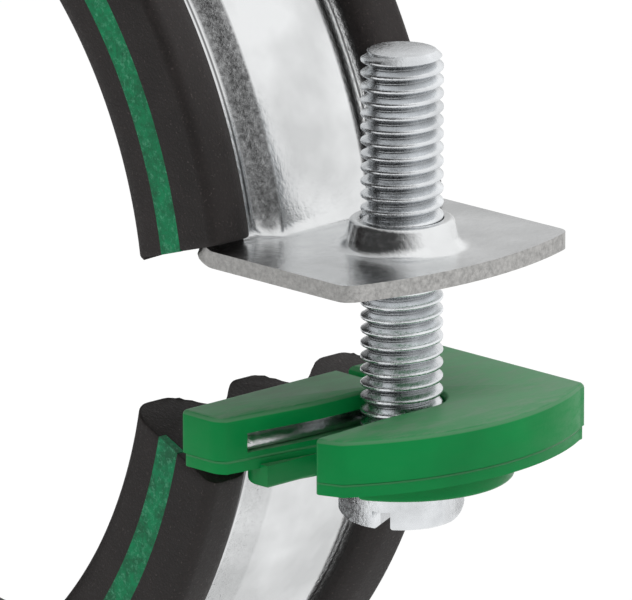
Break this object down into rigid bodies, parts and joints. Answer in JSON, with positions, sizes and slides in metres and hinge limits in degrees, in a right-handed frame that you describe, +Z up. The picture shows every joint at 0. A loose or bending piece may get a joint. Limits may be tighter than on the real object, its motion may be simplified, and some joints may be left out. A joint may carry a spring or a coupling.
{
  "type": "rubber-lined pipe clamp",
  "caption": "Split steel pipe clamp with a ribbed rubber lining, closed by screws; a slotted ear in a green snap clip lets the lower half swing open.",
  "frame": {"origin": "centre of the pipe seat, on the pipe's axis and halfway along the lining", "axes": "+Y along the pipe, away from the face with the green strip; +X towards the lock screw; +Z up to the hanger nut"},
  "size_m": [0.1156, 0.0261, 0.0959],
  "materials": {
    "band_steel": "bright zinc plate",
    "nut_steel": "bright zinc plate",
    "screw_steel": "bright zinc plate",
    "lining_rubber": "matt",
    "stripe_rubber": "matt, speckled",
    "clip_plastic": "moulded, satin"
  },
  "bodies": {
    "upper_half": {"upper_band": "band_steel", "upper_lining": "lining_rubber", "upper_stripe": "stripe_rubber", "hanger_nut": "nut_steel"},
    "travel_washer": {"pivot_washer": "clip_plastic"},
    "pivot_screw": {"pivot_screw": "screw_steel"},
    "lock_screw": {"lock_screw": "screw_steel"},
    "lower_half": {"lower_band": "band_steel", "lower_lining": "lining_rubber", "lower_stripe": "stripe_rubber", "lock_clip": "clip_plastic"}
  },
  "joints": [
    {"name": "clamp_travel", "type": "slide", "parent": "upper_half", "child": "travel_washer", "axis": [0, 0, 1], "range_m": [-0.008, 0.003]},
    {"name": "pivot_screw_turn", "type": "hinge", "parent": "travel_washer", "child": "pivot_screw", "pos_m": [-0.04915, 0, 0], "axis": [0, 0, 1], "range_deg": [-2952, 1152]},
    {"name": "lock_screw_turn", "type": "hinge", "parent": "travel_washer", "child": "lock_screw", "pos_m": [0.04915, 0, 0], "axis": [0, 0, 1], "range_deg": [-2952, 1152]},
    {"name": "lower_half_swing", "type": "hinge", "parent": "travel_washer", "child": "lower_half", "pos_m": [-0.04915, 0, 0], "axis": [0, 0, 1], "range_deg": [0, 60]}
  ],
  "couplings": [
    {"joint": "pivot_screw_turn", "follows": "clamp_travel", "rad_per_m": 6283.2},
    {"joint": "lock_screw_turn", "follows": "clamp_travel", "rad_per_m": 6283.2}
  ]
}
